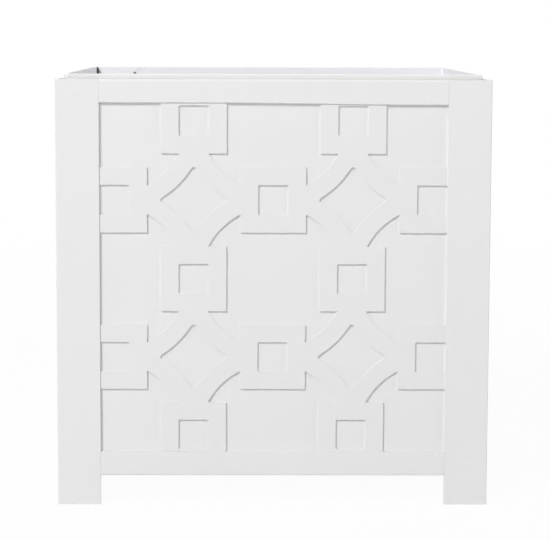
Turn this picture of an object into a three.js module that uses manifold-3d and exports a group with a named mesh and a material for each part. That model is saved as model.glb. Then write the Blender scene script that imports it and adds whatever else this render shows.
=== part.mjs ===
// A square metal Versailles planter, in millimetres, with +Z up.
// Four angle-section corner legs carry flush top and bottom rails. A sheet panel stands behind the
// rails on each side, with a cut fretwork sheet on its face. A loose liner box of two lapped sheets,
// with a hemmed rim and a drained floor tray, drops in and stands on crossbars.
// The origin is on the ground, at the middle of the planter. The front faces -Y.

import * as THREE from 'three';
import { mergeVertices } from 'three/addons/utils/BufferGeometryUtils.js';
import Module from 'manifold-3d';

// Casing
const planterWidth = 508;
const planterDepth = 508;
const casingHeight = 502;
const frameThickness = 4;
const weldGap = 0.3;

// Legs and rails
const legWidth = 50.8;
const railHeight = 28.6;
const footClearance = 35;
const topFlangeLip = 2;
const topBendRadius = 3;
const bottomFlangeReach = 28.6;
const bottomBendRadius = 1.5;
const bendSegments = 2;

// Side panels and their fretwork
const panelThickness = 1.5;
const fretThickness = 2.2;
const fretPitch = 185.8;
const ringInnerRadius = 85.1;
const fretBand = 20.8;
const squareOpening = 35.2;
const circleSegments = 32;

// Crossbars under the liner
const crossbarCount = 3;
const crossbarWidth = 30;
const crossbarThickness = 4;
const crossbarSpacing = 150;

// Liner box
const rimStand = 6;
const linerPlay = 4.2;
const linerSheet = 1.2;
const rimHem = 12;
const linerBendRadius = 4;
const sheetBendSteps = 5;
const hemSteps = 6;
const lapWidth = 60;
const lapGap = 0.2;
const lapDrop = 1;
const seamInset = 0.6;
const notchWidth = 8;
const notchDepth = 18;

// Liner floor tray
const trayFlange = 20;
const drainRadius = 6;
const drainSpacing = 115;
const drainSegments = 8;

// Seam rivets
const rivetCount = 4;
const rivetRadius = 1.6;
const rivetHeadRadius = 3.2;
const rivetHeadHeight = 1;
const rivetHeadTopRadius = 2.2;
const rivetBoreRadius = 1;
const rivetBoreDepth = 1.8;
const rivetTailRadius = 2.4;
const rivetTailLength = 1.5;
const rivetPlay = 0.15;
const rivetEdgeInset = 6;
const rivetTopInset = 8.5;
const rivetBottomInset = 60;
const rivetSegments = 12;

// Levels and sizes that several pieces share
const openingHeight = casingHeight - footClearance - 2 * railHeight;
const openingMiddle = footClearance + railHeight + openingHeight / 2;
const panelSetback = frameThickness + weldGap;
const topFlangeReach = panelSetback + panelThickness + topFlangeLip;
const ledgeLevel = footClearance + frameThickness;
const crossbarLevel = ledgeLevel + weldGap;
const linerLevel = crossbarLevel + crossbarThickness + weldGap;
const rimTop = casingHeight + rimStand;
const linerInset = panelSetback + panelThickness + linerPlay + linerSheet;
const linerHalfWidth = planterWidth / 2 - linerInset;
const linerHalfDepth = planterDepth / 2 - linerInset;
const lapTop = rimTop - lapDrop;
const lapOffset = linerSheet + lapGap;
const rivetAcross = linerHalfWidth - lapWidth + rivetEdgeInset;

// Paints, satin white throughout
const framePaint = satinPaint(0xececea, 0.42);
const panelPaint = satinPaint(0xeaeaeb, 0.45);
const fretPaint = satinPaint(0xececec, 0.45);
const linerPaint = satinPaint(0xe8eaec, 0.4);
const crossbarPaint = satinPaint(0xdcdcda, 0.55);
const rivetPaint = satinPaint(0xdedfe1, 0.4);

// The four sides, each turned from the front. Those that fit between the other two are marked.
const sides = [
  { name: 'front', turn: 0, span: planterWidth, reach: planterDepth / 2, fitsBetween: false },
  { name: 'right', turn: Math.PI / 2, span: planterDepth, reach: planterWidth / 2, fitsBetween: true },
  { name: 'back', turn: Math.PI, span: planterWidth, reach: planterDepth / 2, fitsBetween: false },
  { name: 'left', turn: -Math.PI / 2, span: planterDepth, reach: planterWidth / 2, fitsBetween: true },
];

// The four corners, with the turn that points an angle's two flanges inwards
const corners = [
  { name: 'front_left', x: -1, y: -1, turn: 0 },
  { name: 'front_right', x: 1, y: -1, turn: Math.PI / 2 },
  { name: 'back_right', x: 1, y: 1, turn: Math.PI },
  { name: 'back_left', x: -1, y: 1, turn: -Math.PI / 2 },
];

const { Manifold, Mesh: SolidMesh } = await loadSolids();

async function loadSolids() {
  const library = await Module();
  library.setup();
  return library;
}

function satinPaint(color, roughness) {
  return new THREE.MeshStandardMaterial({ color, roughness, metalness: 0 });
}

function namedMesh(name, geometry, material) {
  const mesh = new THREE.Mesh(geometry, material);
  mesh.name = name;
  return mesh;
}

function extrude(shape, depth, curveSegments = 1) {
  return new THREE.ExtrudeGeometry(shape, { depth, curveSegments, bevelEnabled: false });
}

function rectangle(width, height) {
  const x = width / 2;
  const y = height / 2;
  return new THREE.Shape([
    new THREE.Vector2(-x, -y),
    new THREE.Vector2(x, -y),
    new THREE.Vector2(x, y),
    new THREE.Vector2(-x, y),
  ]);
}

function circle(path, radius, x = 0, y = 0) {
  path.absarc(x, y, radius, 0, 2 * Math.PI, false);
  return path;
}

// Turns a geometry so that its X, Y and Z run along the three given directions
function turnAxes(geometry, x, y, z) {
  const basis = new THREE.Matrix4().makeBasis(
    new THREE.Vector3(...x),
    new THREE.Vector3(...y),
    new THREE.Vector3(...z),
  );
  return geometry.applyMatrix4(basis);
}

function toSolid(geometry) {
  const bare = geometry.clone();
  bare.deleteAttribute('normal');
  bare.deleteAttribute('uv');
  const merged = mergeVertices(bare, 1e-4);
  return new Manifold(new SolidMesh({
    numProp: 3,
    vertProperties: new Float32Array(merged.attributes.position.array),
    triVerts: new Uint32Array(merged.index.array),
  }));
}

function toGeometry(solid) {
  const mesh = solid.getMesh();
  const geometry = new THREE.BufferGeometry();
  geometry.setAttribute('position', new THREE.BufferAttribute(mesh.vertProperties, 3));
  geometry.setIndex(new THREE.BufferAttribute(mesh.triVerts, 1));
  geometry.computeVertexNormals();
  return geometry;
}

function joinAll(solids) {
  return solids.reduce((whole, next) => whole.add(next));
}

// A corner leg: an equal angle with its corner on the group's origin
function makeLeg(name) {
  const section = new THREE.Shape([
    new THREE.Vector2(0, 0),
    new THREE.Vector2(legWidth, 0),
    new THREE.Vector2(legWidth, frameThickness),
    new THREE.Vector2(frameThickness, frameThickness),
    new THREE.Vector2(frameThickness, legWidth),
    new THREE.Vector2(0, legWidth),
  ]);
  return namedMesh(name, extrude(section, casingHeight), framePaint);
}

// An angle rail's section, as depth and height: a face bar with a flange bent inwards at its top
function railSection(flangeReach, bendRadius) {
  const section = new THREE.Shape();
  section.moveTo(0, 0);
  section.lineTo(frameThickness, 0);
  section.lineTo(frameThickness, railHeight - frameThickness);
  section.lineTo(flangeReach, railHeight - frameThickness);
  section.lineTo(flangeReach, railHeight);
  section.lineTo(bendRadius, railHeight);
  section.absarc(bendRadius, railHeight - bendRadius, bendRadius, Math.PI / 2, Math.PI, false);
  section.closePath();
  return section;
}

// A length of rail between two legs, along X, with its outer face on the group's XZ plane
function railBar(side, flangeReach, bendRadius) {
  const length = side.span - 2 * (legWidth + weldGap);
  const bar = extrude(railSection(flangeReach, bendRadius), length, bendSegments);
  return turnAxes(bar, [0, 1, 0], [0, 0, 1], [1, 0, 0]).translate(-length / 2, 0, 0);
}

function makeTopRail(side) {
  const bar = railBar(side, topFlangeReach, topBendRadius);
  const rail = namedMesh(`top_rail_${side.name}`, bar, framePaint);
  rail.position.set(0, -side.reach, casingHeight - railHeight);
  return rail;
}

// The bottom rail is the same angle turned over, and its flange is the ledge for the crossbars
function makeBottomRail(side) {
  const bar = railBar(side, bottomFlangeReach, bottomBendRadius).rotateY(Math.PI);
  const rail = namedMesh(`bottom_rail_${side.name}`, bar, framePaint);
  rail.position.set(0, -side.reach, footClearance + railHeight);
  return rail;
}

// A side panel stands behind the legs and rails, between the rails' two flanges
function makePanel(side) {
  const cornerInset = panelSetback + (side.fitsBetween ? panelThickness + weldGap : 0);
  const width = side.span - 2 * cornerInset;
  const height = casingHeight - footClearance - 2 * panelSetback;
  const sheet = new THREE.BoxGeometry(width, panelThickness, height);
  const panel = namedMesh(`panel_${side.name}`, sheet, panelPaint);
  const behindFace = panelSetback + panelThickness / 2;
  panel.position.set(0, -side.reach + behindFace, footClearance + panelSetback + height / 2);
  return panel;
}

// Places one pitch apart, shifted by a share of the pitch, no further than reach from the middle
function pitchedPlaces(shift, reach) {
  const most = Math.ceil(reach / fretPitch);
  const places = [];
  for (let step = -most - 1; step <= most; step += 1) {
    const place = (step + shift) * fretPitch;
    if (Math.abs(place) < reach) {
      places.push(place);
    }
  }
  return places;
}

// The fretwork: rings on a square grid, a square frame wherever two rings meet, cut to the opening
function fretSheet(width, height) {
  const ringOuterRadius = ringInnerRadius + fretBand;
  const squareOutside = squareOpening + 2 * fretBand;
  const ring = circle(new THREE.Shape(), ringOuterRadius);
  ring.holes.push(circle(new THREE.Path(), ringInnerRadius));
  const ringSolid = toSolid(extrude(ring, fretThickness, circleSegments));
  const squareSolid = toSolid(extrude(rectangle(squareOutside, squareOutside), fretThickness));
  const cutDepth = 3 * fretThickness;
  const openingSolid = toSolid(extrude(rectangle(squareOpening, squareOpening), cutDepth));
  const edge = toSolid(extrude(rectangle(width, height), cutDepth));
  const bands = [];
  const openings = [];
  const placeSquares = (shiftX, shiftY) => {
    for (const x of pitchedPlaces(shiftX, (width + squareOutside) / 2)) {
      for (const y of pitchedPlaces(shiftY, (height + squareOutside) / 2)) {
        bands.push(squareSolid.translate([x, y, 0]));
        openings.push(openingSolid.translate([x, y, -fretThickness]));
      }
    }
  };
  for (const x of pitchedPlaces(0, width / 2 + ringOuterRadius)) {
    for (const y of pitchedPlaces(0, height / 2 + ringOuterRadius)) {
      bands.push(ringSolid.translate([x, y, 0]));
    }
  }
  placeSquares(0.5, 0);
  placeSquares(0, 0.5);
  const pierced = joinAll(bands).subtract(joinAll(openings));
  return pierced.intersect(edge.translate([0, 0, -fretThickness]));
}

function makeFret(side) {
  const width = side.span - 2 * (legWidth + weldGap);
  const sheet = toGeometry(fretSheet(width, openingHeight - 2 * weldGap));
  turnAxes(sheet, [1, 0, 0], [0, 0, 1], [0, -1, 0]);
  const fret = namedMesh(`fret_${side.name}`, sheet, fretPaint);
  fret.position.set(0, -side.reach + panelSetback - weldGap, openingMiddle);
  return fret;
}

// A crossbar lies across the front and back ledges
function makeCrossbar(index) {
  const length = planterDepth - 2 * (panelSetback + panelThickness + weldGap);
  const bar = new THREE.BoxGeometry(crossbarWidth, length, crossbarThickness);
  const crossbar = namedMesh(`crossbar_${index + 1}`, bar, crossbarPaint);
  const place = (index - (crossbarCount - 1) / 2) * crossbarSpacing;
  crossbar.position.set(place, 0, crossbarLevel + crossbarThickness / 2);
  return crossbar;
}

// Stations along a bent sheet's middle line, seen from above, with the direction that faces out.
// The path turns right by a quarter at each inner point.
function bentPath(points) {
  const radius = linerBendRadius + linerSheet / 2;
  const stations = [];
  points.forEach((point, index) => {
    const isEnd = index === 0 || index === points.length - 1;
    const from = points[Math.max(index - 1, 0)];
    const to = points[Math.max(index, 1)];
    const heading = to.clone().sub(from).normalize();
    const outward = new THREE.Vector2(-heading.y, heading.x);
    if (isEnd) {
      stations.push({ point, outward });
      return;
    }
    const centre = point.clone().addScaledVector(heading, -radius).addScaledVector(outward, -radius);
    for (let step = 0; step <= sheetBendSteps; step += 1) {
      const turn = -(Math.PI / 2) * (step / sheetBendSteps);
      const direction = outward.clone().rotateAround(new THREE.Vector2(), turn);
      stations.push({ point: centre.clone().addScaledVector(direction, radius), outward: direction });
    }
  });
  return stations;
}

// Sweeps a section, drawn as outward offset and height, along the stations
function sweep(section, stations) {
  const count = section.length;
  const positions = [];
  const index = [];
  for (const { point, outward } of stations) {
    for (const corner of section) {
      positions.push(point.x + outward.x * corner.x, point.y + outward.y * corner.x, corner.y);
    }
  }
  for (let station = 0; station < stations.length - 1; station += 1) {
    for (let corner = 0; corner < count; corner += 1) {
      const next = (corner + 1) % count;
      const near = station * count;
      const far = near + count;
      index.push(near + corner, near + next, far + corner);
      index.push(near + next, far + next, far + corner);
    }
  }
  const last = (stations.length - 1) * count;
  for (const [a, b, c] of THREE.ShapeUtils.triangulateShape(section, [])) {
    index.push(a, c, b);
    index.push(last + a, last + b, last + c);
  }
  const geometry = new THREE.BufferGeometry();
  geometry.setAttribute('position', new THREE.Float32BufferAttribute(positions, 3));
  geometry.setIndex(index);
  return toSolid(geometry);
}

function sheetSection(bottom, top) {
  const half = linerSheet / 2;
  return [
    new THREE.Vector2(-half, bottom),
    new THREE.Vector2(half, bottom),
    new THREE.Vector2(half, top),
    new THREE.Vector2(-half, top),
  ];
}

// The hemmed rim: the sheet's top edge folded down flat on the outside, with a round fold
function hemSection() {
  const half = linerSheet / 2;
  const bottom = rimTop - rimHem;
  const foldLevel = rimTop - linerSheet;
  const section = [new THREE.Vector2(-half, bottom), new THREE.Vector2(half + linerSheet, bottom)];
  for (let step = 0; step <= hemSteps; step += 1) {
    const angle = (step / hemSteps) * Math.PI;
    const offset = half + linerSheet * Math.cos(angle);
    section.push(new THREE.Vector2(offset, foldLevel + linerSheet * Math.sin(angle)));
  }
  return section;
}

// Rivet heights down a seam, evenly spaced
function rivetHeights() {
  const top = rimTop - rivetTopInset;
  const bottom = linerLevel + rivetBottomInset;
  const heights = [];
  for (let step = 0; step < rivetCount; step += 1) {
    heights.push(top - (step / (rivetCount - 1)) * (top - bottom));
  }
  return heights;
}

// A drill along Y for one seam's rivet holes
function seamDrill(x, y) {
  const length = 4 * lapOffset;
  const drill = toSolid(new THREE.CylinderGeometry(
    rivetRadius + rivetPlay,
    rivetRadius + rivetPlay,
    length,
    rivetSegments,
  ));
  return joinAll(rivetHeights().map((height) => drill.translate([x, y, height])));
}

// One of the liner's two bent sheets: it makes the front and left walls, then laps inside the
// other sheet's back wall. The other sheet is the same one, half a turn round.
function linerSheetSolid() {
  const half = linerSheet / 2;
  const right = linerHalfWidth - seamInset;
  const left = -linerHalfWidth + half;
  const front = -linerHalfDepth + half;
  const back = linerHalfDepth - half - lapOffset;
  const start = new THREE.Vector2(right, front);
  const frontBend = new THREE.Vector2(left, front);
  const backBend = new THREE.Vector2(left, back);
  const lapEnd = new THREE.Vector2(-linerHalfWidth + lapWidth, back);
  const wallEnd = new THREE.Vector2(left, back - linerBendRadius - half);
  const walls = sweep(sheetSection(linerLevel, lapTop), bentPath([start, frontBend, backBend, lapEnd]));
  const rim = sweep(hemSection(), bentPath([start, frontBend, wallEnd]));
  const notch = toSolid(new THREE.BoxGeometry(2 * notchWidth, 2 * notchWidth, 2 * notchDepth));
  const notchPlace = [-linerHalfWidth, linerHalfDepth, rimTop];
  return walls
    .add(rim)
    .subtract(notch.translate(notchPlace))
    .subtract(seamDrill(-rivetAcross, linerHalfDepth - lapOffset))
    .subtract(seamDrill(rivetAcross, -linerHalfDepth + half));
}

// A seam rivet, headed inside the liner, with its axis along Y and its seat on the group's origin.
// The top one in a seam goes through the hem as well.
function rivetBody(height) {
  const seat = -rivetPlay;
  const headTop = seat - rivetHeadHeight;
  const hemGrip = height > rimTop - rimHem ? linerSheet : 0;
  const grip = linerSheet + lapOffset + hemGrip + rivetPlay;
  const tailEnd = grip + rivetTailLength;
  const profile = [
    [0, headTop + rivetBoreDepth],
    [rivetBoreRadius, headTop + rivetBoreDepth],
    [rivetBoreRadius, headTop],
    [rivetHeadTopRadius, headTop],
    [rivetHeadRadius, seat - rivetHeadHeight / 3],
    [rivetHeadRadius, seat],
    [rivetRadius, seat],
    [rivetRadius, grip],
    [rivetTailRadius, grip],
    [rivetTailRadius, tailEnd],
    [0, tailEnd],
  ];
  const points = profile.map(([radius, along]) => new THREE.Vector2(radius, along));
  return new THREE.LatheGeometry(points, rivetSegments);
}

function makeSeamRivet(name, height) {
  const rivet = namedMesh(name, rivetBody(height), rivetPaint);
  rivet.position.set(-rivetAcross, linerHalfDepth - linerSheet - lapOffset, height);
  return rivet;
}

// A rectangle with round corners, as a path about the middle
function roundedRectangle(path, halfWidth, halfDepth, radius) {
  const x = halfWidth - radius;
  const y = halfDepth - radius;
  path.absarc(x, -y, radius, -Math.PI / 2, 0, false);
  path.absarc(x, y, radius, 0, Math.PI / 2, false);
  path.absarc(-x, y, radius, Math.PI / 2, Math.PI, false);
  path.absarc(-x, -y, radius, Math.PI, 1.5 * Math.PI, false);
  path.closePath();
  return path;
}

// The liner's floor: a shallow tray with its flange turned up inside the walls, and drain holes
// over the gaps between the crossbars
function makeFloorTray() {
  const halfWidth = linerHalfWidth - linerSheet - weldGap;
  const halfDepth = linerHalfDepth - linerSheet - lapOffset - weldGap;
  const innerRadius = linerBendRadius - linerSheet;
  const floor = roundedRectangle(new THREE.Shape(), halfWidth, halfDepth, linerBendRadius);
  for (const x of [-crossbarSpacing / 2, crossbarSpacing / 2]) {
    for (const y of [-drainSpacing, 0, drainSpacing]) {
      floor.holes.push(circle(new THREE.Path(), drainRadius, x, y));
    }
  }
  const flange = roundedRectangle(new THREE.Shape(), halfWidth, halfDepth, linerBendRadius);
  flange.holes.push(
    roundedRectangle(new THREE.Path(), halfWidth - linerSheet, halfDepth - linerSheet, innerRadius),
  );
  const floorSolid = toSolid(extrude(floor, linerSheet, drainSegments));
  const flangeSolid = toSolid(extrude(flange, trayFlange, drainSegments));
  const tray = namedMesh('liner_floor_tray', toGeometry(floorSolid.add(flangeSolid)), linerPaint);
  tray.position.z = linerLevel;
  return tray;
}

function makeCasing() {
  const casing = new THREE.Group();
  for (const corner of corners) {
    const group = new THREE.Group();
    group.position.set(corner.x * planterWidth / 2, corner.y * planterDepth / 2, 0);
    group.rotation.z = corner.turn;
    group.add(makeLeg(`leg_${corner.name}`));
    casing.add(group);
  }
  for (const side of sides) {
    const group = new THREE.Group();
    group.rotation.z = side.turn;
    group.add(makeTopRail(side), makeBottomRail(side), makePanel(side), makeFret(side));
    casing.add(group);
  }
  for (let index = 0; index < crossbarCount; index += 1) {
    casing.add(makeCrossbar(index));
  }
  return casing;
}

function makeLiner() {
  const liner = new THREE.Group();
  const sheet = toGeometry(linerSheetSolid());
  const halves = [
    { sheetName: 'liner_sheet_front_left', seamName: 'seam_rivet_back', turn: 0 },
    { sheetName: 'liner_sheet_back_right', seamName: 'seam_rivet_front', turn: Math.PI },
  ];
  for (const half of halves) {
    const group = new THREE.Group();
    group.rotation.z = half.turn;
    group.add(namedMesh(half.sheetName, sheet, linerPaint));
    rivetHeights().forEach((height, index) => {
      group.add(makeSeamRivet(`${half.seamName}_${index + 1}`, height));
    });
    liner.add(group);
  }
  liner.add(makeFloorTray());
  return liner;
}

const planter = new THREE.Group();
planter.name = 'versailles_planter';
planter.add(makeCasing(), makeLiner());

export default planter;
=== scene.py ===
# Looks for a square painted metal Versailles planter: an angle-iron casing with fretwork sides, and
# a loose liner box with a hemmed rim. Everything is in metres.
import math

import bmesh
import bpy
from mathutils import Matrix, Vector


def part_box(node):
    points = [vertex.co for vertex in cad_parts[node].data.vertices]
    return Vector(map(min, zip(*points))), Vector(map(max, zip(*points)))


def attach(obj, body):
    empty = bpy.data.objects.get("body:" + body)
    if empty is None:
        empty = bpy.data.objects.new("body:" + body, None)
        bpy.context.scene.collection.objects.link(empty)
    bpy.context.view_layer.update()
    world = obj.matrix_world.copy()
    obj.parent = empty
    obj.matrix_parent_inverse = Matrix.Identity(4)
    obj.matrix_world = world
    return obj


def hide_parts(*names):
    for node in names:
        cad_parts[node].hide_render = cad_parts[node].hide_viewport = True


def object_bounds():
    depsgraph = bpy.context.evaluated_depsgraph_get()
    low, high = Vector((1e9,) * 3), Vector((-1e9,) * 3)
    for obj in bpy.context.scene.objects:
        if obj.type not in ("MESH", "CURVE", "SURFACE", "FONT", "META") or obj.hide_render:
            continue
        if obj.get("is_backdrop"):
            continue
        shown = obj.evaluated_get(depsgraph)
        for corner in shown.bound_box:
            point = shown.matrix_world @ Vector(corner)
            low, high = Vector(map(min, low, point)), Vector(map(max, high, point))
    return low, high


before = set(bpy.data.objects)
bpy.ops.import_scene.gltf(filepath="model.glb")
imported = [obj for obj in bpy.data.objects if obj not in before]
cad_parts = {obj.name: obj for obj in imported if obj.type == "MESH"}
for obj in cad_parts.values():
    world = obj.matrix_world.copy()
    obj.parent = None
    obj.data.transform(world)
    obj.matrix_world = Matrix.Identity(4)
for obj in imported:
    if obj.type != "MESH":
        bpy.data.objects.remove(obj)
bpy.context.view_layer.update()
print("planter loaded:", len(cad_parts), "nodes")

sideNames = ["front", "right", "back", "left"]
cornerNames = ["front_left", "front_right", "back_right", "back_left"]

mergeReach = 0.00002  # points closer together than this are one
planeReach = 0.00005  # a point this close to a plane lies on it
levelReach = 0.0001  # an edge this close to a height is at that height
sameFace = 0.5  # degrees that faces of one flat stretch may differ by


# Working helpers

def camel(name):
    words = name.split("_")
    return words[0] + "".join(word.capitalize() for word in words[1:])


def onlySelect(piece):
    bpy.ops.object.select_all(action="DESELECT")
    piece.select_set(True)
    bpy.context.view_layer.objects.active = piece


def startEditing(piece):
    onlySelect(piece)
    bpy.ops.object.mode_set(mode="EDIT")
    bpy.ops.mesh.select_mode(type="EDGE")
    bpy.ops.mesh.select_all(action="DESELECT")


def stopEditing():
    bpy.ops.object.mode_set(mode="OBJECT")


def pickEdges(piece, wanted):
    bpy.ops.mesh.select_all(action="DESELECT")
    shape = bmesh.from_edit_mesh(piece.data)
    for edge in shape.edges:
        if len(edge.link_faces) == 2 and wanted(edge):
            edge.select_set(True)
    bmesh.update_edit_mesh(piece.data)


def isSharp(edge, degrees=30):
    return edge.calc_face_angle() > math.radians(degrees)


def edgeMiddle(edge):
    return (edge.verts[0].co + edge.verts[1].co) / 2


def edgeRun(edge):
    return (edge.verts[1].co - edge.verts[0].co).normalized()


def runsAlong(edge, axis):
    return abs(edgeRun(edge)[axis]) > 0.9


def isLevel(edge):
    return abs(edgeRun(edge).z) < 0.1


def softenPicked(width, segments):
    bpy.ops.mesh.bevel(offset=width, offset_type="OFFSET", segments=segments, profile=0.5,
                       affect="EDGES", clamp_overlap=True)


# A clean copy of a node. Cuts, as a point and a direction each, keep its wide faces free of holes.
def copyOfNode(nodeName, cuts=()):
    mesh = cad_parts[nodeName].data.copy()
    mesh.materials.clear()
    piece = bpy.data.objects.new(camel(nodeName), mesh)
    bpy.context.scene.collection.objects.link(piece)
    onlySelect(piece)
    if mesh.has_custom_normals:
        bpy.ops.mesh.customdata_custom_splitnormals_clear()
    startEditing(piece)
    bpy.ops.mesh.select_all(action="SELECT")
    bpy.ops.mesh.remove_doubles(threshold=mergeReach)
    for point, direction in cuts:
        bpy.ops.mesh.select_all(action="SELECT")
        bpy.ops.mesh.bisect(plane_co=point, plane_no=direction)
        bpy.ops.mesh.mark_seam()
    bpy.ops.mesh.select_all(action="SELECT")
    bpy.ops.mesh.dissolve_limited(angle_limit=math.radians(sameFace), delimit={"SEAM"})
    stopEditing()
    return piece


# Closes a narrow gap at a weld: points on one plane move to another, on both sides of the middle
def closeGap(piece, axis, old, new, middle=0):
    for vertex in piece.data.vertices:
        away = vertex.co[axis] - middle
        if abs(abs(away) - old) < planeReach:
            vertex.co[axis] = middle + math.copysign(new, away)


def smoothPiece(piece, degrees=35):
    onlySelect(piece)
    bpy.ops.object.shade_smooth_by_angle(angle=math.radians(degrees))
    weighted = piece.modifiers.new("flatFaces", "WEIGHTED_NORMAL")
    weighted.keep_sharp = True
    weighted.weight = 80
    bpy.ops.object.modifier_apply(modifier=weighted.name)


# Moves a group of points to and fro along an axis, as the texture says
def waver(piece, axisName, groupName, texture, strength):
    wave = piece.modifiers.new("waver" + axisName, "DISPLACE")
    wave.texture = texture
    wave.texture_coords = "LOCAL"
    wave.direction = axisName
    wave.vertex_group = groupName
    wave.mid_level = 0.5
    wave.strength = strength
    bpy.ops.object.modifier_apply(modifier=wave.name)


def groupPicked(piece, groupName):
    piece.vertex_groups.new(name=groupName)
    bpy.ops.object.vertex_group_assign()


def fitPiece(piece, body, nodeNames, paint):
    piece.data.materials.clear()
    piece.data.materials.append(paint)
    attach(piece, body)
    if nodeNames:
        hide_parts(*nodeNames)


# The slow unevenness of an edge that was cut and ground by hand
def handWaver(name, size):
    texture = bpy.data.textures.new(name, "CLOUDS")
    texture.noise_scale = size
    texture.noise_depth = 1
    return texture


# Paint, as node groups that every finish shares

coatSettings = {"sheenSpread": 0.18, "slowPeelShare": 1.6, "rubReach": 0.0008, "rubGain": 5,
                "rubFrom": 0.5, "rubTo": 0.7, "creaseShadeShare": 0.8, "refraction": 1.47}


def newGroup(name, inputs, outputs):
    group = bpy.data.node_groups.new(name, "ShaderNodeTree")
    for socketName, kind, value in inputs:
        socket = group.interface.new_socket(name=socketName, in_out="INPUT", socket_type=kind)
        socket.default_value = value
    for socketName, kind in outputs:
        group.interface.new_socket(name=socketName, in_out="OUTPUT", socket_type=kind)
    return group, group.nodes.new("NodeGroupInput"), group.nodes.new("NodeGroupOutput")


def addNode(tree, kind, links=None, **values):
    node = tree.nodes.new(kind)
    for key, value in values.items():
        if hasattr(node, key):
            setattr(node, key, value)
        else:
            node.inputs[key].default_value = value
    for key, source in (links or {}).items():
        tree.links.new(source, node.inputs[key])
    return node


def mathNode(tree, operation, first, second=None, clamp=False):
    node = tree.nodes.new("ShaderNodeMath")
    node.operation = operation
    node.use_clamp = clamp
    for index, value in enumerate([first, second]):
        if value is None:
            continue
        if isinstance(value, (int, float)):
            node.inputs[index].default_value = value
        else:
            tree.links.new(value, node.inputs[index])
    return node.outputs[0]


def mixColor(tree, factor, first, second):
    node = tree.nodes.new("ShaderNodeMix")
    node.data_type = "RGBA"
    for socket, value in ((node.inputs[0], factor), (node.inputs[6], first), (node.inputs[7], second)):
        if isinstance(value, (int, float, tuple)):
            socket.default_value = value
        else:
            tree.links.new(value, socket)
    return node.outputs[2]


# Sprayed enamel: slightly patchy colour and sheen, and an orange peel surface
def makeSprayGroup():
    group, given, result = newGroup(
        "sprayedEnamel",
        [("Paint", "NodeSocketColor", (0.8, 0.8, 0.8, 1)), ("Patchiness", "NodeSocketFloat", 0.02),
         ("Sheen Level", "NodeSocketFloat", 0.42), ("Peel Scale", "NodeSocketFloat", 600)],
        [("Color", "NodeSocketColor"), ("Roughness", "NodeSocketFloat"), ("Height", "NodeSocketFloat")])
    place = addNode(group, "ShaderNodeTexCoord").outputs["Object"]
    patches = addNode(group, "ShaderNodeTexNoise", {"Vector": place}, Scale=9, Detail=4, Roughness=0.6)
    peel = addNode(group, "ShaderNodeTexNoise",
                   {"Vector": place, "Scale": given.outputs["Peel Scale"]}, Detail=1.5, Roughness=0.45)
    slowPeel = addNode(group, "ShaderNodeTexNoise", {"Vector": place}, Scale=70, Detail=2)
    uneven = mathNode(group, "SUBTRACT", patches.outputs["Fac"], 0.5)
    shade = mathNode(group, "MULTIPLY_ADD", uneven, given.outputs["Patchiness"])
    shade.node.inputs[2].default_value = 1
    toned = addNode(group, "ShaderNodeVectorMath", {0: given.outputs["Paint"]}, operation="SCALE")
    group.links.new(shade, toned.inputs["Scale"])
    group.links.new(toned.outputs[0], result.inputs["Color"])
    dull = mathNode(group, "MULTIPLY_ADD", uneven, coatSettings["sheenSpread"])
    group.links.new(given.outputs["Sheen Level"], dull.node.inputs[2])
    group.links.new(dull, result.inputs["Roughness"])
    slow = mathNode(group, "MULTIPLY", slowPeel.outputs["Fac"], coatSettings["slowPeelShare"])
    group.links.new(mathNode(group, "ADD", peel.outputs["Fac"], slow), result.inputs["Height"])
    return group


# Where paint has rubbed thin along edges, in broken stretches
def makeRubGroup():
    group, given, result = newGroup(
        "rubbedEdges",
        [("Reach", "NodeSocketFloat", coatSettings["rubReach"]), ("Breaks", "NodeSocketFloat", 45)],
        [("Mask", "NodeSocketFloat")])
    rounded = addNode(group, "ShaderNodeBevel", {"Radius": given.outputs["Reach"]}, samples=4)
    surface = addNode(group, "ShaderNodeNewGeometry")
    facing = addNode(group, "ShaderNodeVectorMath",
                     {0: rounded.outputs[0], 1: surface.outputs["Normal"]}, operation="DOT_PRODUCT")
    turned = mathNode(group, "SUBTRACT", 1, facing.outputs["Value"], clamp=True)
    place = addNode(group, "ShaderNodeTexCoord").outputs["Object"]
    breaks = addNode(group, "ShaderNodeTexNoise",
                     {"Vector": place, "Scale": given.outputs["Breaks"]}, Detail=3, Roughness=0.7)
    broken = addNode(group, "ShaderNodeMapRange", {"Value": breaks.outputs["Fac"]})
    broken.inputs["From Min"].default_value = coatSettings["rubFrom"]
    broken.inputs["From Max"].default_value = coatSettings["rubTo"]
    strong = mathNode(group, "MULTIPLY", turned, coatSettings["rubGain"], clamp=True)
    group.links.new(mathNode(group, "MULTIPLY", strong, broken.outputs[0]), result.inputs["Mask"])
    return group


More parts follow.
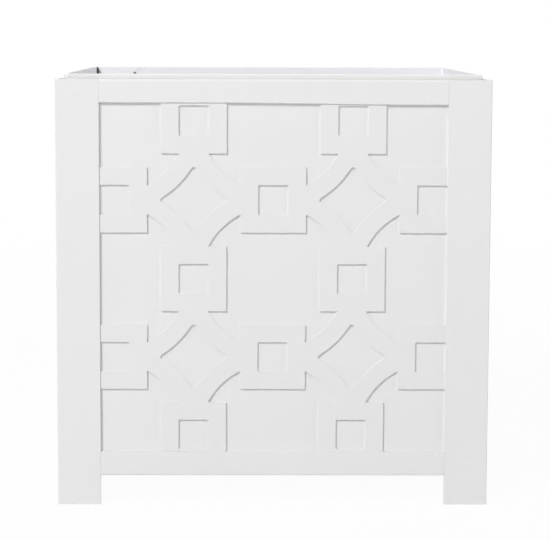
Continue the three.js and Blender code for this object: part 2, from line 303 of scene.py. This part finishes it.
# Dust on level faces, and painted shade darkening the creases; both broken up by fine grains
def makeDustAndShadeGroup():
    group, given, result = newGroup(
        "dustAndCreaseShade",
        [("Reach", "NodeSocketFloat", 0.01), ("Level Share", "NodeSocketFloat", 0.3)],
        [("Mask", "NodeSocketFloat")])
    # Painted shade: the more other surfaces close over a point, the darker it is painted
    creaseShade = addNode(group, "ShaderNodeAmbientOcclusion", {"Distance": given.outputs["Reach"]}, samples=8)
    hidden = mathNode(group, "SUBTRACT", 1, creaseShade.outputs["AO"], clamp=True)
    surface = addNode(group, "ShaderNodeNewGeometry")
    axes = addNode(group, "ShaderNodeSeparateXYZ", {0: surface.outputs["Normal"]})
    level = mathNode(group, "MULTIPLY", mathNode(group, "MAXIMUM", axes.outputs["Z"], 0),
                     given.outputs["Level Share"])
    place = addNode(group, "ShaderNodeTexCoord").outputs["Object"]
    grains = addNode(group, "ShaderNodeTexNoise", {"Vector": place}, Scale=160, Detail=5, Roughness=0.75)
    creased = mathNode(group, "MULTIPLY", hidden, coatSettings["creaseShadeShare"])
    dustAndShadeSum = mathNode(group, "ADD", creased, level)
    group.links.new(mathNode(group, "MULTIPLY", dustAndShadeSum, grains.outputs["Fac"], clamp=True),
                    result.inputs["Mask"])
    return group


# Painted-over weld marks at set places on each outer face, given as distance along and height. Besides
# their small bump, they are coloured lighter as a painted highlight
markSettings = {"size": 0.0013, "color": (0.97, 0.97, 0.97, 1), "places": [
    (-0.1785, 0.4807), (0.002, 0.4808), (0.1786, 0.4806), (-0.1595, 0.0527), (0.0059, 0.0576),
    (0.1933, 0.0602), (-0.2258, 0.4914), (-0.213, 0.3019), (0.2075, 0.4921), (0.2249, 0.4944),
    (0.2243, 0.4096), (0.2248, 0.3652), (0.228, 0.0517)]}


def makeMarkGroup():
    group, given, result = newGroup(
        "weldMarks", [("Size", "NodeSocketFloat", markSettings["size"])], [("Mask", "NodeSocketFloat")])
    place = addNode(group, "ShaderNodeTexCoord").outputs["Object"]
    axes = addNode(group, "ShaderNodeSeparateXYZ", {0: place})
    x, y, z = axes.outputs
    farX, farY = mathNode(group, "ABSOLUTE", x), mathNode(group, "ABSOLUTE", y)
    onFront = mathNode(group, "GREATER_THAN", farY, farX)
    alongX = mathNode(group, "MULTIPLY", mathNode(group, "MULTIPLY", x, mathNode(group, "SIGN", y)), -1)
    alongY = mathNode(group, "MULTIPLY", y, mathNode(group, "SIGN", x))
    along = mathNode(group, "ADD", mathNode(group, "MULTIPLY", alongX, onFront),
                     mathNode(group, "MULTIPLY", alongY, mathNode(group, "SUBTRACT", 1, onFront)))
    flat = addNode(group, "ShaderNodeCombineXYZ", {0: along, 1: z})
    nearest = None
    for markAlong, markHeight in markSettings["places"]:
        reach = addNode(group, "ShaderNodeVectorMath", {0: flat.outputs[0]}, operation="DISTANCE")
        reach.inputs[1].default_value = (markAlong, markHeight, 0)
        away = reach.outputs["Value"]
        nearest = away if nearest is None else mathNode(group, "MINIMUM", nearest, away)
    share = mathNode(group, "DIVIDE", nearest, given.outputs["Size"])
    group.links.new(mathNode(group, "SUBTRACT", 1, share, clamp=True), result.inputs["Mask"])
    return group


sprayGroup = makeSprayGroup()
rubGroup = makeRubGroup()
dustAndShadeGroup = makeDustAndShadeGroup()
markGroup = makeMarkGroup()


def placeGroup(tree, group, **values):
    node = tree.nodes.new("ShaderNodeGroup")
    node.node_tree = group
    for key, value in values.items():
        node.inputs[key.replace("_", " ")].default_value = value
    return node


def makePaint(name, paint, patchiness=0.03, sheenLevel=0.42, peelScale=620, peelDepth=0.00002,
              rubColor=(0.72, 0.72, 0.717, 1), rubAmount=0.35, dustAndShadeColor=(0.58, 0.57, 0.555, 1),
              dustAndShadeAmount=0.12, creaseShadeReach=0.008, levelShare=0.25, markDepth=0):
    material = bpy.data.materials.new(name)
    material.use_nodes = True
    tree = material.node_tree
    shader = tree.nodes["Principled BSDF"]
    spray = placeGroup(tree, sprayGroup, Paint=paint, Patchiness=patchiness, Sheen_Level=sheenLevel,
                       Peel_Scale=peelScale)
    rub = placeGroup(tree, rubGroup, Reach=coatSettings["rubReach"])
    # This mask is dust on level faces plus painted shade in creases
    dustAndShade = placeGroup(tree, dustAndShadeGroup, Reach=creaseShadeReach, Level_Share=levelShare)
    rubbed = mathNode(tree, "MULTIPLY", rub.outputs["Mask"], rubAmount)
    dustyAndShaded = mathNode(tree, "MULTIPLY", dustAndShade.outputs["Mask"], dustAndShadeAmount)
    worn = mixColor(tree, rubbed, spray.outputs["Color"], rubColor)
    if markDepth:
        marks = placeGroup(tree, markGroup, Size=markSettings["size"])
        # Weld marks get a lighter colour: a painted highlight on top of their small bump
        worn = mixColor(tree, marks.outputs["Mask"], worn, markSettings["color"])
    tree.links.new(mixColor(tree, dustyAndShaded, worn, dustAndShadeColor), shader.inputs["Base Color"])
    tree.links.new(mathNode(tree, "ADD", spray.outputs["Roughness"], dustyAndShaded, clamp=True),
                   shader.inputs["Roughness"])
    bump = addNode(tree, "ShaderNodeBump", {"Height": spray.outputs["Height"]}, Distance=peelDepth)
    if markDepth:
        bump = addNode(tree, "ShaderNodeBump", {"Height": marks.outputs["Mask"],
                                                "Normal": bump.outputs[0]}, Distance=markDepth)
    tree.links.new(bump.outputs[0], shader.inputs["Normal"])
    shader.inputs["IOR"].default_value = coatSettings["refraction"]
    return material


paints = {
    "frame": makePaint("frameEnamel", (0.80, 0.80, 0.80, 1), markDepth=0.00025),
    "panel": makePaint("panelEnamel", (0.80, 0.80, 0.80, 1), patchiness=0.025, peelDepth=0.000015),
    # The fretwork's enamel is a little darker than the panels': painted shade that evens out its brighter
    # lighting
    "fret": makePaint("fretEnamel", (0.792, 0.792, 0.792, 1), patchiness=0.025),
    "liner": makePaint("linerEnamel", (0.83, 0.83, 0.83, 1), patchiness=0.04, sheenLevel=0.38,
                       dustAndShadeAmount=0.1, levelShare=0.2),
    # The liner's inner faces: its enamel made brighter as painted light, with a cool painted-shade tint
    "linerInsideLit": makePaint("linerInsidePaintedLight", (0.925, 0.927, 0.95, 1), patchiness=0.04,
                             sheenLevel=0.45, dustAndShadeAmount=0.15),
    "crossbar": makePaint("crossbarEnamel", (0.74, 0.74, 0.73, 1), patchiness=0.08, sheenLevel=0.55,
                          rubAmount=0.6, dustAndShadeAmount=0.35),
    "rivet": makePaint("rivetEnamel", (0.78, 0.78, 0.785, 1), sheenLevel=0.35, dustAndShadeAmount=0.4,
                       creaseShadeReach=0.002),
    # Near black for the rivet bores: painted shade
    "rivetBoreShade": makePaint("rivetBorePaintedShade", (0.05, 0.05, 0.052, 1), patchiness=0.3, sheenLevel=0.6),
    # Near black for the rim's notches: painted shade where the seam corners lie deep in shadow
    "seal": makePaint("paintedNotchShade", (0.035, 0.032, 0.03, 1), patchiness=0.4, sheenLevel=0.5,
                      peelScale=300, peelDepth=0.0001, rubAmount=0, dustAndShadeAmount=0.15),
}
print("paints mixed:", len(paints))


# Casing: its solids stop just short of each other, and the looks close the gaps at the welds

casingSettings = {"pieceEnd": 0.2029, "legEdge": 0.2032, "barBack": 0.250, "panelFace": 0.2497}


# Casing: the corner legs

legSettings = {"outerCorner": 0.0012, "outerFrom": 0.2535, "edge": 0.0004}


def buildLeg(cornerName):
    leg = copyOfNode("leg_" + cornerName)
    for axis in (0, 1):
        closeGap(leg, axis, casingSettings["barBack"], casingSettings["panelFace"])
    startEditing(leg)
    pickEdges(leg, lambda edge: runsAlong(edge, 2)
              and min(abs(edgeMiddle(edge).x), abs(edgeMiddle(edge).y)) > legSettings["outerFrom"])
    softenPicked(legSettings["outerCorner"], segments=3)
    pickEdges(leg, lambda edge: isSharp(edge, 40) and edge.is_convex)
    softenPicked(legSettings["edge"], segments=2)
    stopEditing()
    smoothPiece(leg)
    fitPiece(leg, "casing", ["leg_" + cornerName], paints["frame"])


for cornerName in cornerNames:
    buildLeg(cornerName)
print("legs done")


# Casing: rails, whose lips towards the panel are slightly uneven under the paint

railSettings = {"cuts": 70, "edge": 0.0004, "topLip": 0.4734, "bottomLip": 0.0636, "lipEnd": 0.201,
                "lipWaver": 0.0005, "waverSize": 0.014, "lipReach": 0.0012, "lipLift": 0.0017,
                "lipLevel": 0.13, "lipRun": 0.16}
lipWaver = handWaver("lipWaver", railSettings["waverSize"])


def axesOf(sideName):
    return (0, 1) if sideName in ("front", "back") else (1, 0)


# Distance along a side, to the right when it is seen from outside
def runOf(sideName, point):
    return {"front": point.x, "right": point.y, "back": -point.x, "left": -point.y}[sideName]


# The top rail's lip climbs by lipLift to the left of lipLevel, over a length of lipRun
def liftLip(piece, sideName, lipHeight, reach):
    for vertex in piece.data.vertices:
        if abs(vertex.co.z - lipHeight) < reach:
            share = (railSettings["lipLevel"] - runOf(sideName, vertex.co)) / railSettings["lipRun"]
            vertex.co.z += railSettings["lipLift"] * min(max(share, 0), 1)


def buildRail(nodeName, sideName, lipHeight):
    rail = copyOfNode(nodeName)
    along, across = axesOf(sideName)
    closeGap(rail, along, casingSettings["pieceEnd"], casingSettings["legEdge"])
    closeGap(rail, across, casingSettings["barBack"], casingSettings["panelFace"])
    startEditing(rail)
    pickEdges(rail, lambda edge: runsAlong(edge, along))
    bpy.ops.mesh.subdivide(number_cuts=railSettings["cuts"])
    pickEdges(rail, lambda edge: abs(edgeMiddle(edge).z - lipHeight) < levelReach
              and all(abs(vertex.co[along]) < railSettings["lipEnd"] for vertex in edge.verts))
    groupPicked(rail, "lip")
    stopEditing()
    waver(rail, "Z", "lip", lipWaver, railSettings["lipWaver"])
    liftLip(rail, sideName, railSettings["topLip"], railSettings["lipReach"])
    startEditing(rail)
    pickEdges(rail, lambda edge: isSharp(edge, 40) and edge.is_convex)
    softenPicked(railSettings["edge"], segments=2)
    stopEditing()
    smoothPiece(rail)
    fitPiece(rail, "casing", [nodeName], paints["frame"])


for sideName in sideNames:
    buildRail("top_rail_" + sideName, sideName, railSettings["topLip"])
    buildRail("bottom_rail_" + sideName, sideName, railSettings["bottomLip"])
print("rails done")


# Casing: plain panels keep their shape

for sideName in sideNames:
    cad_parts["panel_" + sideName].material_slots[0].material = paints["panel"]
print("panels painted")


# Casing: fretwork sheets, with softened corners and slightly uneven straight cuts

fretSettings = {"middle": 0.2685, "halfHeight": 0.2046, "railEdge": 0.2049, "halfPitch": 0.0929,
                "border": 0.0005, "frontFrom": 0.251, "mergeReach": 0.0002,
                "openingCorner": 0.0018, "corner": 0.0007, "rim": 0.0006, "rimTaper": 0.37,
                "tipReach": 0.0421, "tipSlack": 0.001, "levelTip": 0.0062, "uprightTip": 0.0070,
                "longCut": 0.010, "cuts": 6, "cutWaver": 0.0006, "waverSize": 0.011,
                "lipReach": 0.0003, "squeeze": 0.0035, "shear": 0.0022, "settleTop": 0.465}
cutWaver = handWaver("cutWaver", fretSettings["waverSize"])


def buildFret(sideName):
    nodeName = "fret_" + sideName
    along, across = axesOf(sideName)
    fit = fretSettings
    acrossGrid = Vector((1 - along, along, 0))
    gridSteps = range(-2, 3)
    cuts = [(acrossGrid * step * fit["halfPitch"], acrossGrid) for step in gridSteps]
    cuts += [((0, 0, fit["middle"] + step * fit["halfPitch"]), (0, 0, 1)) for step in gridSteps]
    fret = copyOfNode(nodeName, cuts)
    closeGap(fret, along, casingSettings["pieceEnd"], casingSettings["legEdge"])
    closeGap(fret, across, casingSettings["barBack"], casingSettings["panelFace"])
    closeGap(fret, 2, fit["halfHeight"], fit["railEdge"], fit["middle"])
    sideBorder = casingSettings["legEdge"] - fit["border"]
    railBorder = fit["railEdge"] - fit["border"]

    def onBorder(vertex):
        return (abs(vertex.co[along]) > sideBorder
                or abs(vertex.co.z - fit["middle"]) > railBorder)

    def isThrough(edge):
        return runsAlong(edge, across) and not onBorder(edge.verts[0])

    def isSquareCut(edge):
        return all(max(abs(face.normal[along]), abs(face.normal.z)) > 0.99 for face in edge.link_faces)

    def isOutline(edge):
        flat = [abs(face.normal[across]) > 0.9 for face in edge.link_faces]
        return flat[0] != flat[1]

    def isFrontRim(edge):
        if not isOutline(edge) or not isSharp(edge, 60):
            return False
        return abs(edgeMiddle(edge)[across]) > fit["frontFrom"]

    # The four tips of each opening between four rings: its upper and lower ones are upright
    def isTip(edge, upright):
        point = edgeMiddle(edge)
        aside = abs(abs(point[along]) - fit["halfPitch"])
        above = abs(abs(point.z - fit["middle"]) - fit["halfPitch"])
        near, far = (aside, above) if upright else (above, aside)
        return (isThrough(edge) and near < fit["tipSlack"]
                and abs(far - fit["tipReach"]) < 2 * fit["tipSlack"])

    def isLongCut(edge):
        run = edgeRun(edge)
        straight = max(abs(run[along]), abs(run.z)) > 0.9999
        return (isOutline(edge) and straight and edge.calc_length() > fit["longCut"]
                and not (onBorder(edge.verts[0]) and onBorder(edge.verts[1])))

    # Rims that face down or to the right are crisper than those that face up or to the left
    def weighRims():
        shape = bmesh.new()
        shape.from_mesh(fret.data)
        weights = shape.edges.layers.float.new("bevel_weight_edge")
        for edge in shape.edges:
            if len(edge.link_faces) == 2 and isFrontRim(edge):
                wall = min(edge.link_faces, key=lambda face: abs(face.normal[across])).normal
                facing = (runOf(sideName, wall) - wall.z) / math.sqrt(2)
                edge[weights] = 1 - fit["rimTaper"] * (1 + facing)
        shape.to_mesh(fret.data)
        shape.free()

    # Below its top, the pattern sits a little high and to the left, the more so the lower it is
    def settleFret():
        toLeft = -1 if sideName in ("front", "right") else 1
        for vertex in fret.data.vertices:
            below = fit["settleTop"] - vertex.co.z
            if abs(vertex.co.z - fit["middle"]) < railBorder:
                vertex.co.z += fit["squeeze"] * below
            if abs(vertex.co[along]) < sideBorder:
                vertex.co[along] += toLeft * fit["shear"] * below

    startEditing(fret)
    pickEdges(fret, lambda edge: isTip(edge, True))
    softenPicked(fit["uprightTip"], segments=6)
    pickEdges(fret, lambda edge: isTip(edge, False))
    softenPicked(fit["levelTip"], segments=6)
    pickEdges(fret, lambda edge: isThrough(edge) and isSharp(edge, 60) and isSquareCut(edge)
              and not edge.is_convex)
    softenPicked(fit["openingCorner"], segments=3)
    pickEdges(fret, lambda edge: isThrough(edge) and isSharp(edge, 30))
    softenPicked(fit["corner"], segments=2)
    bpy.ops.mesh.select_all(action="SELECT")
    bpy.ops.mesh.remove_doubles(threshold=fit["mergeReach"])
    pickEdges(fret, isLongCut)
    bpy.ops.mesh.subdivide(number_cuts=fit["cuts"], ngon=True)
    groupPicked(fret, "straightCuts")
    stopEditing()
    waver(fret, "XYZ"[along], "straightCuts", cutWaver, fit["cutWaver"])
    waver(fret, "Z", "straightCuts", cutWaver, fit["cutWaver"])
    settleFret()
    liftLip(fret, sideName, railSettings["topLip"], fit["lipReach"])
    weighRims()
    rims = fret.modifiers.new("rims", "BEVEL")
    rims.limit_method = "WEIGHT"
    rims.width = fit["rim"]
    rims.segments = 2
    onlySelect(fret)
    bpy.ops.object.modifier_apply(modifier=rims.name)
    smoothPiece(fret)
    fitPiece(fret, "casing", [nodeName], paints["fret"])


for sideName in sideNames:
    buildFret(sideName)
print("fretwork done")


# Casing: crossbars under the liner

crossbarSettings = {"edge": 0.0006}

for index in (1, 2, 3):
    crossbar = copyOfNode(f"crossbar_{index}")
    startEditing(crossbar)
    pickEdges(crossbar, isSharp)
    softenPicked(crossbarSettings["edge"], segments=2)
    stopEditing()
    smoothPiece(crossbar)
    fitPiece(crossbar, "casing", [f"crossbar_{index}"], paints["crossbar"])
print("crossbars done")


# Liner: two bent sheets with a hemmed rim

sheetSettings = {"edge": 0.0003, "hemBottom": 0.496, "inward": -0.05}

for sheetName in ("liner_sheet_front_left", "liner_sheet_back_right"):
    sheet = copyOfNode(sheetName)
    startEditing(sheet)
    pickEdges(sheet, lambda edge: isSharp(edge, 60) and edge.is_convex
              and all(abs(vertex.co.z - sheetSettings["hemBottom"]) < levelReach
                      for vertex in edge.verts))
    softenPicked(sheetSettings["edge"], segments=2)
    stopEditing()
    smoothPiece(sheet, degrees=40)
    fitPiece(sheet, "liner", [sheetName], paints["liner"])
    # Inward faces take the brightened, bluish copy: painted light with a cool painted-shade tint
    sheet.data.materials.append(paints["linerInsideLit"])
    for face in sheet.data.polygons:
        outward = face.center.x * face.normal.x + face.center.y * face.normal.y
        if outward < sheetSettings["inward"]:
            face.material_index = 1
print("liner sheets done")


# Liner: the floor tray, with a folded corner all round and true round drain holes

traySettings = {"floorTop": 0.0448, "fold": 0.0022, "foldReach": 0.0002, "lip": 0.0003,
                "drainRadius": 0.006, "drainSlack": 0.0005,
                "drains": [(x, y) for x in (-0.075, 0.075) for y in (-0.115, 0, 0.115)]}


def nearDrain(point):
    for x, y in traySettings["drains"]:
        reach = math.hypot(point.x - x, point.y - y)
        if reach < traySettings["drainRadius"] + traySettings["drainSlack"]:
            return x, y, reach
    return None


def buildTray():
    tray = copyOfNode("liner_floor_tray")
    startEditing(tray)
    pickEdges(tray, lambda edge: nearDrain(edgeMiddle(edge)) and isLevel(edge))
    bpy.ops.mesh.subdivide(number_cuts=2, ngon=True)
    stopEditing()
    for vertex in tray.data.vertices:
        drain = nearDrain(vertex.co)
        if drain:
            x, y, reach = drain
            grow = traySettings["drainRadius"] / reach
            vertex.co.x = x + (vertex.co.x - x) * grow
            vertex.co.y = y + (vertex.co.y - y) * grow
    startEditing(tray)
    pickEdges(tray, lambda edge: isSharp(edge, 60) and not edge.is_convex and isLevel(edge)
              and abs(edgeMiddle(edge).z - traySettings["floorTop"]) < traySettings["foldReach"])
    softenPicked(traySettings["fold"], segments=4)
    pickEdges(tray, lambda edge: isSharp(edge, 60) and edge.is_convex)
    softenPicked(traySettings["lip"], segments=2)
    stopEditing()
    smoothPiece(tray)
    fitPiece(tray, "liner", ["liner_floor_tray"], paints["liner"])


buildTray()
print("liner tray done")


# Liner: blind rivets, one drawn from a listed profile and copied to each place in the two seams

rivetSettings = {"sides": 28, "seatIn": 0.001, "boreRadius": 0.00135, "boreLow": -0.0008,
                 "boreHigh": 0.001,
                 "profile": [(0.0013, 0.00065), (0.0013, -0.00095), (0.0015, -0.00115),
                             (0.0021, -0.00112), (0.0028, -0.00085), (0.0032, -0.00045),
                             (0.0032, -0.00002), (0.0016, 0.0), (0.0016, 0.0028), (0.0021, 0.0030),
                             (0.0024, 0.0034), (0.0023, 0.0040), (0.0017, 0.0043), (0.0006, 0.0043)]}


# A round solid from a profile of radius and height pairs
def drawTurned(profile, sides):
    startRadius, startAlong = profile[0]
    bpy.ops.object.select_all(action="DESELECT")
    bpy.ops.mesh.primitive_circle_add(vertices=sides, radius=startRadius, fill_type="NGON",
                                      location=(0, 0, startAlong))
    turned = bpy.context.object
    bpy.ops.object.transform_apply(location=True)
    bpy.ops.object.mode_set(mode="EDIT")
    bpy.ops.mesh.select_all(action="SELECT")
    lastRadius, lastAlong = startRadius, startAlong
    for radius, along in profile[1:]:
        bpy.ops.mesh.extrude_region_move(TRANSFORM_OT_translate={"value": (0, 0, along - lastAlong)})
        grow = radius / lastRadius
        bpy.ops.transform.resize(value=(grow, grow, 1))
        lastRadius, lastAlong = radius, along
    bpy.ops.mesh.select_all(action="SELECT")
    bpy.ops.mesh.normals_make_consistent(inside=False)
    bpy.ops.object.mode_set(mode="OBJECT")
    smoothPiece(turned, degrees=40)
    return turned


firstRivet = drawTurned(rivetSettings["profile"], rivetSettings["sides"])
for seamName, turn in (("back", 0), ("front", math.pi)):
    for index in (1, 2, 3, 4):
        nodeName = f"seam_rivet_{seamName}_{index}"
        low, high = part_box(nodeName)
        middle = (low + high) / 2
        seatIn = rivetSettings["seatIn"]
        seat = low.y + seatIn if seamName == "back" else high.y - seatIn
        rivet = bpy.data.objects.new(camel(nodeName), firstRivet.data.copy())
        bpy.context.scene.collection.objects.link(rivet)
        fitPiece(rivet, "liner", [nodeName], paints["rivet"])
        # The bore faces take near black: painted shade inside the hole
        rivet.data.materials.append(paints["rivetBoreShade"])
        for face in rivet.data.polygons:
            narrow = math.hypot(face.center.x, face.center.y) < rivetSettings["boreRadius"]
            if narrow and rivetSettings["boreLow"] < face.center.z < rivetSettings["boreHigh"]:
                face.material_index = 1
        stand = Matrix.Rotation(-math.pi / 2, 4, "X")
        place = Matrix.Translation((middle.x, seat, middle.z))
        rivet.data.transform(place @ Matrix.Rotation(turn, 4, "Z") @ stand)
bpy.data.objects.remove(firstRivet)
print("rivets done")


# Liner: near-black painted shade in the rim's notch at the two seam corners, as a small turned piece

notchShadeSettings = {"sides": 14, "place": (-0.2407, 0.2386),
                "profile": [(0.0016, 0.4896), (0.0027, 0.4912), (0.0024, 0.4945), (0.0020, 0.4985),
                            (0.0016, 0.5022), (0.0012, 0.5052), (0.0010, 0.5070), (0.0004, 0.5076)]}


def buildNotchShade(name, turn):
    seal = drawTurned(notchShadeSettings["profile"], notchShadeSettings["sides"])
    seal.name = name
    x, y = notchShadeSettings["place"]
    seal.data.transform(Matrix.Rotation(turn, 4, "Z") @ Matrix.Translation((x, y, 0)))
    fitPiece(seal, "liner", [], paints["seal"])


buildNotchShade("notchShadeBack", 0)
buildNotchShade("notchShadeFront", math.pi)
print("notch shades done")


# Studio: white floor and background, a broad key lamp from the upper left, and weaker lamps around

floorSettings = {"size": 60, "tone": (0.8, 0.8, 0.8, 1), "nearWhite": 0.96, "near": 0.6, "far": 3.5}
worldSettings = {"room": (1.0, 1.0, 1.0, 1), "strength": 0.06}
# Each lamp has a name, a kind, its azimuth and rise in degrees, and its power
lampSettings = {"target": (0, 0, 0.3), "sunSpread": 40, "boxReach": 11, "boxSize": 4.2, "lamps": [
    ("keyBox", "AREA", -32, 36, 880), ("broadBack", "SUN", 180, 50, 0.8),
    ("broadFarRight", "SUN", 75, 10, 1.0), ("broadBackLeft", "SUN", -130, 50, 0.25),
    ("broadFarLeft", "SUN", -80, 15, 0.35), ("broadTop", "SUN", -10, 60, 0.1)]}
cameraSettings = {"place": (-0.0244, -2.6650, 0.5579), "turn": (83.423, -0.1967, -0.6063),
                  "lens": 135.67, "sensor": 36, "clip": (0.1, 100)}


def seenDirectly(tree):
    rays = tree.nodes.new("ShaderNodeLightPath")
    both = mathNode(tree, "ADD", rays.outputs["Is Camera Ray"], rays.outputs["Is Glossy Ray"])
    return mathNode(tree, "ADD", both, rays.outputs["Is Transmission Ray"], clamp=True)


def buildFloor():
    bpy.ops.object.select_all(action="DESELECT")
    bpy.ops.mesh.primitive_plane_add(size=floorSettings["size"], location=(0, 0, 0))
    floor = bpy.context.object
    floor.name = "studioFloor"
    material = bpy.data.materials.new("studioFloor")
    material.use_nodes = True
    tree = material.node_tree
    tree.nodes.clear()
    matte = addNode(tree, "ShaderNodeBsdfDiffuse", Color=floorSettings["tone"])
    white = addNode(tree, "ShaderNodeEmission", Color=(1, 1, 1, 1), Strength=1)
    place = addNode(tree, "ShaderNodeTexCoord").outputs["Object"]
    reach = addNode(tree, "ShaderNodeVectorMath", {0: place}, operation="LENGTH")
    fade = addNode(tree, "ShaderNodeMapRange", {"Value": reach.outputs["Value"]},
                   interpolation_type="SMOOTHSTEP")
    fade.inputs["From Min"].default_value = floorSettings["near"]
    fade.inputs["From Max"].default_value = floorSettings["far"]
    fade.inputs["To Min"].default_value = floorSettings["nearWhite"]
    share = mathNode(tree, "MULTIPLY", seenDirectly(tree), fade.outputs[0])
    blend = addNode(tree, "ShaderNodeMixShader", {0: share, 1: matte.outputs[0], 2: white.outputs[0]})
    end = tree.nodes.new("ShaderNodeOutputMaterial")
    tree.links.new(blend.outputs[0], end.inputs["Surface"])
    floor.data.materials.append(material)
    floor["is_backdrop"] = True


def buildRoom():
    world = bpy.data.worlds.new("studioRoom")
    bpy.context.scene.world = world
    world.use_nodes = True
    tree = world.node_tree
    tree.nodes.clear()
    room = addNode(tree, "ShaderNodeBackground", Color=worldSettings["room"],
                   Strength=worldSettings["strength"])
    white = addNode(tree, "ShaderNodeBackground", Color=(1, 1, 1, 1), Strength=1)
    blend = addNode(tree, "ShaderNodeMixShader",
                    {0: seenDirectly(tree), 1: room.outputs[0], 2: white.outputs[0]})
    end = tree.nodes.new("ShaderNodeOutputWorld")
    tree.links.new(blend.outputs[0], end.inputs["Surface"])


def buildLamp(name, kind, azimuth, rise, power):
    around, up = math.radians(azimuth), math.radians(rise)
    aim = Vector((math.sin(around) * math.cos(up), -math.cos(around) * math.cos(up), math.sin(up)))
    place = Vector(lampSettings["target"]) + aim * lampSettings["boxReach"]
    bpy.ops.object.light_add(type=kind, location=place)
    light = bpy.context.object
    light.name = name
    light.data.energy = power
    if kind == "SUN":
        light.data.angle = math.radians(lampSettings["sunSpread"])
    else:
        light.data.shape = "DISK"
        light.data.size = lampSettings["boxSize"]
    light.rotation_euler = aim.to_track_quat("Z", "Y").to_euler()


def buildCamera():
    turn = [math.radians(angle) for angle in cameraSettings["turn"]]
    bpy.ops.object.camera_add(location=cameraSettings["place"], rotation=turn)
    camera = bpy.context.object
    camera.data.lens = cameraSettings["lens"]
    camera.data.sensor_width = cameraSettings["sensor"]
    camera.data.sensor_fit = "HORIZONTAL"
    camera.data.clip_start, camera.data.clip_end = cameraSettings["clip"]
    bpy.context.scene.camera = camera


buildFloor()
buildRoom()
for lamp in lampSettings["lamps"]:
    buildLamp(*lamp)
buildCamera()
bpy.context.scene.view_settings.view_transform = "Standard"
print("studio done")

low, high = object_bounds()
